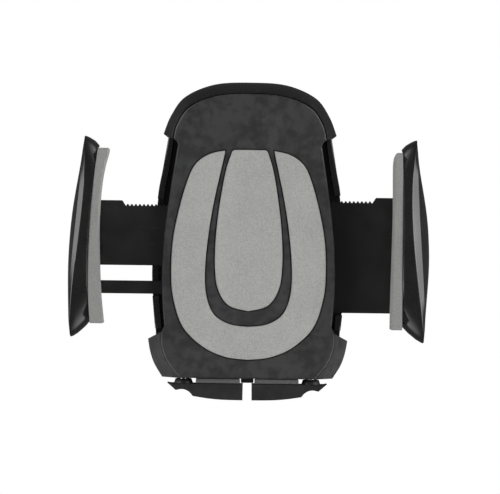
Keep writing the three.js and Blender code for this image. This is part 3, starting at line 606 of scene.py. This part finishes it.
# The jaws splay outwards at the bottom, each a little differently. The curves give distances from the middle
# plane by height: of the cheek's mouth at the front, its rim and its dome, and of the grip's face.
JAWS = {
    -1: {
        "mouth": bowed((49.6, 29), (50.7, 20), (51.6, 11), (52.6, -1), (52.3, -8.6), (51.8, -25)),
        "rim": bowed((54.2, 33), (53.7, 24), (54.6, 11), (55.7, 0), (56.6, -8), (57.8, -21.7), (58.2, -32)),
        "dome": bowed(
            (55.1, 33), (56.6, 24.4), (57.9, 11.2), (58.8, 1.3), (59.5, -12), (59.6, -21.8), (58.9, -31)
        ),
        "face": traced(
            (46.1, 29.6),
            (46.4, 27.7),
            (47.4, 24),
            (48.3, 19),
            (49, 11.2),
            (49.2, 0),
            (48.5, -17),
            (47.4, -27.7),
        ),
        "middle": 0.6,
        "half": 33.1,
        "grip": (29.4, -27.7),
    },
    1: {
        "mouth": bowed((49.9, 29), (50, 21), (50.3, 8), (50.4, 0), (50.3, -8), (50.1, -21.8), (50.4, -28)),
        "rim": bowed((54.8, 33), (53.5, 25), (53.3, 13), (53.8, 0), (54.4, -6.6), (56.2, -20), (57.6, -32.5)),
        "dome": bowed((55.6, 33), (57.8, 21), (58.5, 8), (59.2, -5.3), (59.7, -17), (59.3, -25), (58.4, -32)),
        "face": traced(
            (48.1, 28.9), (47.5, 27.5), (47.2, 24.4), (47.3, 11), (47.2, 1.3), (46.8, -18.5), (46.7, -28.8)
        ),
        "middle": 0.05,
        "half": 33.4,
        "grip": (28.9, -28.8),
    },
}


def cheek_ring(side, inset, x_at, share=1.0, lift=0.0, lower=0.0, points=120):
    """A ring round the cheek: inset by (y, z) millimetres from its rim, then scaled about the middle."""
    ring = []
    for i in range(points):
        turn = 2 * math.pi * (i + 0.5) / points
        c, s = math.cos(turn), math.sin(turn)
        reach = (c**4 + s**4) ** -0.25
        y = CHEEK_MID_Y + (CHEEK_HALF_Y - inset[0]) * reach * c * share
        z = JAWS[side]["middle"] + (JAWS[side]["half"] - inset[1] - lower) * reach * s * share + lift
        ring.append((side * x_at(z, y), y, z))
    return ring


def cheek_skin(name, side, wall=0.0):
    """The cheek's outside, or with a wall thickness its hollow."""
    front, rim_x, dome = (JAWS[side][curve] for curve in ("mouth", "rim", "dome"))
    start = 1.0 if wall else 0.0
    behind = lambda y: max(0, y - CHEEK_MID_Y) / CHEEK_HALF_Y
    mouth = lambda z, y: front(z) + (JAW_INNER - front(z)) * behind(y)
    to_rim = lambda share: lambda z, y: (mouth(z, y) - start) * (1 - share) + (rim_x(z) - wall) * share
    to_dome = lambda share: lambda z, y: rim_x(z) + (dome(z) - rim_x(z)) * share - wall
    inset = lambda y, z: (wall + y, wall + z)
    rings = [
        cheek_ring(side, inset(0.3, 0.3), to_rim(0), lower=4.5, lift=1.2),
        cheek_ring(side, inset(0, 0), to_rim(0.06), lower=4.2, lift=1.15),
        cheek_ring(side, inset(0, 0), to_rim(0.34), lower=2.5, lift=0.8),
        cheek_ring(side, inset(0, 0), to_rim(0.68), lower=0.95, lift=0.3),
        cheek_ring(side, inset(0, 0), to_rim(0.9), lower=0.2, lift=0.05),
        cheek_ring(side, inset(0.06, 0.06), to_rim(0.98)),
        cheek_ring(side, inset(0.2, 0.28), to_dome(0.03)),
        cheek_ring(side, inset(0.42, 0.75), to_dome(0.1)),
        cheek_ring(side, inset(1.3, 3.0), to_dome(0.38)),
        cheek_ring(side, inset(1.5, 3.6), to_dome(0.42)),
        cheek_ring(side, inset(1.8, 4.4), to_dome(0.45)),
    ]
    for step in range(1, 11):
        t = step / 10
        rise = 0.45 + 0.55 * (1 - (1 - t) ** 2)
        rings.append(cheek_ring(side, inset(1.8, 4.4), to_dome(rise), 1 - 0.97 * t))
    return skin(name, rings)


def cheek(word, side):
    """The hollow cheek, with a boss for each of its two screws that stays short of its outside."""
    screws = [in_mm(f"{word}_cheek_screw_{i}") for i in (1, 2)]
    shell = cut(cheek_skin(f"{word}_cheek_shell", side), cheek_skin("hollow", side, CHEEK_WALL))
    for low, high in screws:
        centre = (0, (low.y + high.y) / 2, (low.z + high.z) / 2)
        edge = centre[2] + math.copysign(2.5, centre[2])
        rim_x, dome_x = JAWS[side]["rim"](edge), JAWS[side]["dome"](edge)
        end = rim_x + 0.7 * (dome_x - rim_x) - 0.8
        join(shell, rod("boss", 2.5, *sorted((side * 53.6, side * end)), "x", centre))
        cut(shell, rod("hole", 1.15, *sorted((side * 53, side * (end - 0.1))), "x", centre))
    return shell


def grip(word, side):
    """A soft strip that meets the phone, with a thin lip in front that reaches out to the cheek."""
    low, high = in_mm(f"{word}_grip")
    face, mouth = JAWS[side]["face"], JAWS[side]["mouth"]
    heights = np.linspace(*JAWS[side]["grip"], 41)
    inner = [(face(z), z) for z in heights]

    def strip(name, back, start, end, r):
        outer = [(back(z), z) for z in reversed(heights)]
        shape = [(side * x, z) for x, z in (*inner, *outer)]
        return slab(name, shape, rounded(start, end, r))

    lip = strip(f"{word}_grip_pad", lambda z: mouth(z) - 0.12, low.y, low.y + 1.0, 0.42)
    beside_jaw = lambda z: JAW_INNER - 0.15 if abs(z - 1) < 19 else mouth(z) - 0.2
    body = strip("grip_body", beside_jaw, low.y + 0.9, -0.35, 0.02)
    return join(lip, body)


for word, side in (("left", -1), ("right", 1)):
    stand_in(cheek(word, side), f"{word}_cheek", angle=30)
    stand_in(grip(word, side), f"{word}_grip")


# ---- Feet ----
FOOT_TOP = -47.6


def foot(word, side):
    """A folded foot: a bar with a bite out of its outer end, on a hub that turns about its shoulder screw."""
    shape = outline(
        [(-26.4, FOOT_TOP + 0.2), (-25.4, FOOT_TOP), (-1.45, FOOT_TOP), (-1.5, -53.0)],
        through([(-1.5, -53.0), (-8, -52.9), (-13, -52.5), (-18, -51.75)], 14),
        through([(-18, -51.75), (-18.9, -50.6), (-20.3, -49.75), (-21.8, -49.5), (-23.6, -49.85)], 14),
    )
    shape = [(-side * x, z) for x, z in shape]
    bar = slab(f"{word}_foot_bar", shape, rounded(PIVOT_Y - 4.2, PIVOT_Y + 4.2, 0.3))
    spot = (side * PIVOT_X, PIVOT_Y, 0)
    hub = [(0, -48.5), (3.1, -48.5), (3.15, -47.5), (3.0, -47.1), (2.72, -46.25), (2.55, -46.1), (0, -46.1)]
    join(bar, lathe("hub", hub, "z", spot))
    hole = [(0, -54), (2.8, -54), (2.8, -49.4), (1.65, -48.2), (1.65, -45), (0, -45)]
    return cut(bar, lathe("hole", hole, "z", spot))


def foot_pad(word, side):
    """The soft strip on top of a foot, with fine ribs across it."""
    low, high = in_mm(f"{word}_foot_pad")
    reach, half = 18.7, 3.4
    ends = [(-17, PIVOT_Y + half), (-17, PIVOT_Y - half)]
    for i in range(13):
        turn = math.asin(half / reach) * (i - 6) / 6
        ends.append((reach * math.cos(turn) - PIVOT_X, PIVOT_Y + reach * math.sin(turn)))
    shape = [(-side * x, y) for x, y in ends]
    top = BOTTOM - 0.18
    profile = [(-0.15, low.z), (0, low.z + 0.12), (0, top - 0.25), (-0.1, top - 0.08), (-0.3, top)]
    pad = skin(f"{word}_foot_strip", [[(x, y, z) for x, y in grown(shape, grow)] for grow, z in profile])
    for i in range(9):
        x = side * (3.9 + 1.5 * i)
        cut(pad, rod("groove", 0.22, -5, 15, "y", (x, 0, top + 0.12), 12))
    return pad


for word, side in (("left", -1), ("right", 1)):
    # Each foot is painted with the darker copy of the matte grey plastic, as painted shade.
    stand_in(foot(word, side), f"{word}_foot", look="foot_grey_painted_shade")
    stand_in(foot_pad(word, side), f"{word}_foot_pad", look="foot_strip")


# ---- Screws and springs ----
def cross_recess(axis, centre, head, depth, width, length):
    """Two bars that cut a cross into a screw head; head is where its outer face lies along the axis."""
    bars = []
    for across in range(3):
        if across == "xyz".index(axis):
            continue
        low, high = [c - width / 2 for c in centre], [c + width / 2 for c in centre]
        low[across], high[across] = centre[across] - length / 2, centre[across] + length / 2
        k = "xyz".index(axis)
        low[k], high[k] = sorted((head - depth, head + depth * 0.5))
        bars.append(brick("recess_bar", low, high))
    return bars


def screw(node, axis, profile, head, depth, width, length):
    """A screw in place of its CAD node, with a cross recess in its head."""
    low, high = in_mm(node)
    centre = [(a + b) / 2 for a, b in zip(low, high)]
    centre["xyz".index(axis)] = 0
    made = lathe(node + "_turned", profile, axis, centre, 48)
    cut(made, *cross_recess(axis, centre, head, depth, width, length))
    return stand_in(made, node)


def threaded(r, start, end, pitch=0.8, depth=0.16):
    """(radius, distance) points of a ridged shank between two distances."""
    steps = max(2, round(abs(end - start) / pitch))
    points = []
    for i in range(steps):
        a, b = start + (end - start) * i / steps, start + (end - start) * (i + 0.5) / steps
        points += [(r - depth, a), (r, b)]
    return [*points, (r - depth, end)]


for i in range(1, 5):
    shank = [(0, 5.6), (0.5, 5.9), *threaded(1, 6.3, 11.6), (1, 11.9)]
    dome = [(2.1, 11.9), (2.1, 12.1), (2.02, 12.4), (1.8, 12.62), (1.3, 12.76), (0, 12.8)]
    screw(f"housing_screw_{i}", "y", [*shank, *dome], 12.8, 0.75, 0.5, 2.3)
    shank = [(0, 17.8), (0.6, 17.5), *threaded(1, 17.2, 12.6), (1, 12.1)]
    screw(f"socket_screw_{i}", "y", [*shank, (2, 11.0), (1.9, 10.95), (0, 10.95)], 10.95, -0.6, 0.5, 2.2)
for word, side in (("left", -1), ("right", 1)):
    shoulder = [(0, -40.6), *threaded(1.3, -41.2, -44.6), (1.5, -44.9), (1.5, -48.25)]
    head = [(2.5, -49.2), (2.45, -49.3), (0, -49.3)]
    screw(f"{word}_foot_screw", "z", [*shoulder, *head], -49.3, -0.8, 0.6, 2.9)
    for i in (1, 2):
        shank = [(0, 55), (0.6, 54.9), *threaded(1, 54.8, 53.2), (1, 52.65)]
        head = [(2, 51.75), (1.95, 51.65), (0, 51.65)]
        profile = [(r, side * x) for r, x in (*shank, *head)]
        screw(f"{word}_cheek_screw_{i}", "x", profile, side * 51.65, -side * 0.6, 0.5, 2.3)


def coil(node, axis, wire_r, turns):
    """A compression spring in place of its CAD node, with closed ends, which its joint squashes."""
    low, high = in_mm(node)
    k = "xyz".index(axis)
    centre = (low + high) / 2
    others = [i for i in range(3) if i != k]
    r = (high[others[0]] - low[others[0]]) / 2 - wire_r
    start, end = low[k] + wire_r, high[k] - wire_r
    steps = 28 * (turns + 2)
    path = []
    for i in range(steps + 1):
        turn = (turns + 2) * i / steps
        share = min(max((turn - 1) / turns, 0), 1)
        closed = wire_r * 2.1 * (min(turn, 1) + max(turn - turns - 1, 0))
        point = Vector(centre)
        point[k] = start + closed + (end - start - 4.2 * wire_r) * share
        point[others[0]] += r * math.cos(2 * math.pi * turn)
        point[others[1]] += r * math.sin(2 * math.pi * turn)
        path.append(point)
    spring = stand_in(tube(node + "_wire", path, wire_r), node, angle=60)
    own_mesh(spring)


coil("left_arm_spring", "x", 0.25, 14)
coil("right_arm_spring", "x", 0.25, 14)
for i in (1, 2):
    coil(f"button_spring_{i}", "y", 0.2, 5)

# ---- Ball joint ----
BALL_Y = 24


def socket_cup():
    """The cup that holds the ball, with four springy fingers and a coarse thread for the lock nut."""
    thread = threaded(12.4, 16.2, 26.0, 1.4, 0.45)
    seat = arc(9.85, BALL_Y, 15.3, -61.5, 22)
    profile = [(0, 13.2), (13.7, 13.2), (14, 13.5), (14, 14.8), (13.6, 15.1), (12.4, 15.6), *thread]
    cup = lathe("socket_cup_turned", [*profile, (11.7, 26.75), *seat, (0, BALL_Y - 8.7)], steps=96)
    cut(cup, brick("slot", (-14, 18, -0.8), (14, 28, 0.8)), brick("slot", (-0.8, 18, -14), (0.8, 28, 14)))
    for x, z in CUP_SCREWS:
        cut(cup, rod("hole", 1.15, 12, 18.4, centre=(x, 0, z)))
    return cup


def lock_nut():
    """A ring with scalloped grips, a chamfered nose and a stepped bore."""
    grips, steps, r = 12, 144, 16.15
    turns = [2 * math.pi * i / steps for i in range(steps)]
    scallops = [r - max(0.0, math.cos(grips * turn)) ** 1.5 for turn in turns]
    rim = [(r - 0.5, 17.5), (r - 0.15, 17.6), (r, 17.95), (r, 28.6)]
    nose = [(r - 0.5, 29.6), (r - 1.3, 30.4), (r - 2.0, 30.7), (r - 2.6, 30.8)]
    loops = []
    for widest, y in rim + nose:
        reach = [min(widest, out) for out in scallops]
        loops.append([(out * math.cos(turn), y, out * math.sin(turn)) for out, turn in zip(reach, turns)])
    ring = skin("lock_nut_ring", loops)
    bore = [(0, 16), (13.1, 16), (13.1, 17.6), (12.65, 18.1), (12.65, 27), *arc(9.9, BALL_Y, 17.6, 33, 8)]
    return cut(ring, lathe("bore", [*bore, (8.2, 29.9), (8.4, 30.2), (9.5, 31.2), (0, 31.2)], steps=96))


def ball_liner():
    """The bearing ring between the ball and the socket."""
    inner = arc(8.68, BALL_Y, -48, 32.8, 20)
    outer = arc(9.55, BALL_Y, 29.5, -43, 20)
    return lathe("ball_liner_ring", [*inner, *outer], steps=96)


def ball_stud():
    """The ball with its neck, collar and threaded end."""
    ball = arc(8.5, BALL_Y, -90, 63.5, 40)
    neck = [(3.62, 32.1), (3.5, 32.8), (3.5, 38.6), (3.8, 39.4), (5.6, 40.7)]
    collar = [(6, 41.1), (6, 42.7), (5.8, 43), (2, 43)]
    thread = threaded(2, 43.6, 50.8, 0.7, 0.2)
    return lathe("ball_stud_turned", [*ball, *neck, *collar, *thread, (1.5, 51.4), (0, 51.4)], steps=72)


stand_in(socket_cup(), "socket_cup")
stand_in(lock_nut(), "lock_nut", angle=40)
stand_in(ball_liner(), "ball_liner")
stand_in(ball_stud(), "ball_stud")


# ---- CAD pieces whose shape stays: their edges are eased ----
def ease(node, width, segments=2, angle=35):
    """Rounds a CAD piece's edges by modifiers and gives it its material."""
    obj = CAD[node]
    merge = obj.modifiers.new("flat_faces_merged", "DECIMATE")
    merge.decimate_type = "DISSOLVE"
    merge.angle_limit = math.radians(1)
    bevel = obj.modifiers.new("eased_edges", "BEVEL")
    bevel.width = width * MM
    bevel.segments = segments
    bevel.limit_method = "ANGLE"
    bevel.angle_limit = math.radians(angle)
    bevel.harden_normals = True
    paint(obj, SLOT_OF[node])
    obj.data.shade_smooth()
    obj.data.set_sharp_from_angle(angle=math.radians(angle))


EASED = {
    "left_arm": 0.12,
    "right_arm": 0.12,
    "pinion": 0.1,
    "pinion_axle": 0.15,
    "release_button": 0.3,
    "stud_nut": 0.25,
    "clip_frame": 0.45,
    "clip_lever": 0.45,
    "clip_pin": 0.2,
    "lower_jaw_pad": 0.2,
    "upper_jaw_pad": 0.2,
}
for node, width in EASED.items():
    ease(node, width)


# The clip's torsion spring: close coils round the pin with a leg down to the deck, and beside them a last part
# turn with the leg that lifts the lever, which moves with the lever.
SPRING_R, SPRING_HALF, SPRING_WIRE_R = 2.4, 2.35, 0.34
LEVER_LEG_TURN, DECK_LEG_TURN = 227.5, 1620
PIN = sum(in_mm("clip_pin"), Vector()) / 2


def round_pin(x, degrees):
    turn = math.radians(degrees)
    return Vector((x, PIN.y + SPRING_R * math.cos(turn), PIN.z + SPRING_R * math.sin(turn)))


def clip_spring():
    sweep = DECK_LEG_TURN - LEVER_LEG_TURN
    steps = 120
    coils = [
        round_pin(SPRING_HALF * (2 * i / steps - 1), LEVER_LEG_TURN + sweep * i / steps)
        for i in range(steps + 1)
    ]
    deck = Vector((SPRING_HALF, PIN.y - SPRING_R, -3.4))
    leg = [coils[-1].lerp(deck, i / 8) for i in range(1, 9)]
    return tube("clip_spring_wire", [*coils, *leg], SPRING_WIRE_R)


def clip_spring_leg():
    x = -SPRING_HALF - 2.1 * SPRING_WIRE_R
    bend = [round_pin(x, LEVER_LEG_TURN + 10 * i) for i in range(8)]
    leg = [bend[0].lerp(Vector((x, 45.9, 9.7)), i / 8) for i in range(8, 0, -1)]
    return tube("clip_spring_leg", [*leg, *bend], SPRING_WIRE_R)


stand_in(clip_spring(), "clip_spring", angle=60)
dress(clip_spring_leg(), SLOT_OF["clip_spring"], "clip_jaw", angle=60)
for i in range(6):
    along = 45.2 + 1.35 * i
    height = 14.1 - 0.52 * (along - 44)
    rib = rod(f"thumb_rib_{i + 1}", 0.45, -6.4, 6.4, "x", (0, along, height), 20)
    dress(rib, SLOT_OF["clip_lever"], "clip_jaw")
for i in range(7):
    z = 21.6 + 1.45 * i
    rib = rod(f"button_rib_{i + 1}", 0.4, -6.6, 6.6, "x", (0, 15.65, z), 20)
    dress(rib, SLOT_OF["release_button"], "button")


# ---- Stage: floor, light and camera ----
MIDDLE = Vector((0, FACE_Y, 0))
AMBIENT = 0.585
REFLECTED_DARK = 0.07
REFLECTED_SIDES = 3.2


def plain(name, colour, roughness=0.9):
    made = bpy.data.materials.new(name)
    made.use_nodes = True
    shader = made.node_tree.nodes["Principled BSDF"]
    shader.inputs["Base Color"].default_value = (*colour, 1)
    shader.inputs["Roughness"].default_value = roughness
    return made


def card(name, centre, facing, size, material):
    """A flat rectangle that faces a point."""
    mesh = bpy.data.meshes.new(name)
    w, h = size[0] / 2, size[1] / 2
    mesh.from_pydata([(-w, -h, 0), (w, -h, 0), (w, h, 0), (-w, h, 0)], [], [(0, 1, 2, 3)])
    obj = bpy.data.objects.new(name, mesh)
    obj.location = centre
    obj.rotation_euler = (Vector(facing) - Vector(centre)).to_track_quat("Z", "Y").to_euler()
    bpy.context.scene.collection.objects.link(obj)
    obj.data.materials.append(material)
    return obj


def softbox(name, centre, size, power, glossy=True):
    light = bpy.data.lights.new(name, "AREA")
    light.shape = "RECTANGLE"
    light.size, light.size_y = size
    light.energy = power
    obj = bpy.data.objects.new(name, light)
    obj.location = MIDDLE + Vector(centre)
    obj.rotation_euler = (-Vector(centre)).to_track_quat("-Z", "Y").to_euler()
    obj.visible_glossy = glossy
    bpy.context.scene.collection.objects.link(obj)


def studio():
    """White to the eye, but in reflections bright only at the sides and dark in front, above and behind."""
    world = bpy.data.worlds.new("white_studio")
    world.use_nodes = True
    tree = world.node_tree

    def node(kind, **inputs):
        made = tree.nodes.new(kind)
        for name, value in inputs.items():
            made.inputs[name.replace("_", " ")].default_value = value
        return made

    way = tree.nodes.new("ShaderNodeSeparateXYZ")
    tree.links.new(tree.nodes.new("ShaderNodeTexCoord").outputs["Generated"], way.inputs["Vector"])
    across = tree.nodes.new("ShaderNodeMath")
    across.operation = "ABSOLUTE"
    tree.links.new(way.outputs["X"], across.inputs[0])
    beside = node("ShaderNodeMapRange", From_Min=0.4, From_Max=0.75, To_Min=0.0, To_Max=REFLECTED_SIDES)
    tree.links.new(across.outputs["Value"], beside.inputs["Value"])
    ahead = node("ShaderNodeMapRange", From_Min=0.4, From_Max=0.12, To_Min=0.0, To_Max=1.0)
    tree.links.new(way.outputs["Y"], ahead.inputs["Value"])
    sides = tree.nodes.new("ShaderNodeMath")
    sides.operation = "MULTIPLY_ADD"
    tree.links.new(beside.outputs["Result"], sides.inputs[0])
    tree.links.new(ahead.outputs["Result"], sides.inputs[1])
    sides.inputs[2].default_value = REFLECTED_DARK
    rays = tree.nodes.new("ShaderNodeLightPath")
    in_gloss = node("ShaderNodeMix", A=AMBIENT)
    tree.links.new(rays.outputs["Is Glossy Ray"], in_gloss.inputs["Factor"])
    tree.links.new(sides.outputs["Value"], in_gloss.inputs["B"])
    seen = node("ShaderNodeMix", B=1.0)
    tree.links.new(rays.outputs["Is Camera Ray"], seen.inputs["Factor"])
    tree.links.new(in_gloss.outputs["Result"], seen.inputs["A"])
    background = tree.nodes["Background"]
    background.inputs["Color"].default_value = (1, 1, 1, 1)
    tree.links.new(seen.outputs["Result"], background.inputs["Strength"])
    return world


floor = card("floor", (0, 0, -0.24), (0, 0, 1), (3, 3), plain("pale_floor", (0.8, 0.8, 0.8)))
floor.visible_glossy = False
softbox("left_softbox", (-0.8, -0.6, 0.3), (0.4, 0.9), 2.6)
softbox("right_softbox", (0.8, -0.6, 0.3), (0.4, 0.9), 3.6)
softbox("back_softbox", (0.5, 1.1, 0.7), (0.7, 0.7), 14, glossy=False)
bpy.context.scene.world = studio()
bpy.context.scene.view_settings.view_transform = "Standard"

VIEW_WIDTH = 0.165  # how much of the object's front plane the picture spans
VIEW_DISTANCE = 0.95
AIM = Vector((0.0004, FACE_Y, -0.0023))
ROLL = math.radians(0.7)
camera = bpy.data.objects.new("camera", bpy.data.cameras.new("camera"))
camera.data.sensor_width = 36
camera.data.lens = 36 * VIEW_DISTANCE / VIEW_WIDTH
camera.data.clip_start = 0.05
eye = AIM - Vector((0, VIEW_DISTANCE, 0))
upright = Matrix.Rotation(math.pi / 2, 4, "X")
camera.matrix_world = Matrix.Translation(eye) @ upright @ Matrix.Rotation(ROLL, 4, "Z")
bpy.context.scene.collection.objects.link(camera)
bpy.context.scene.camera = camera
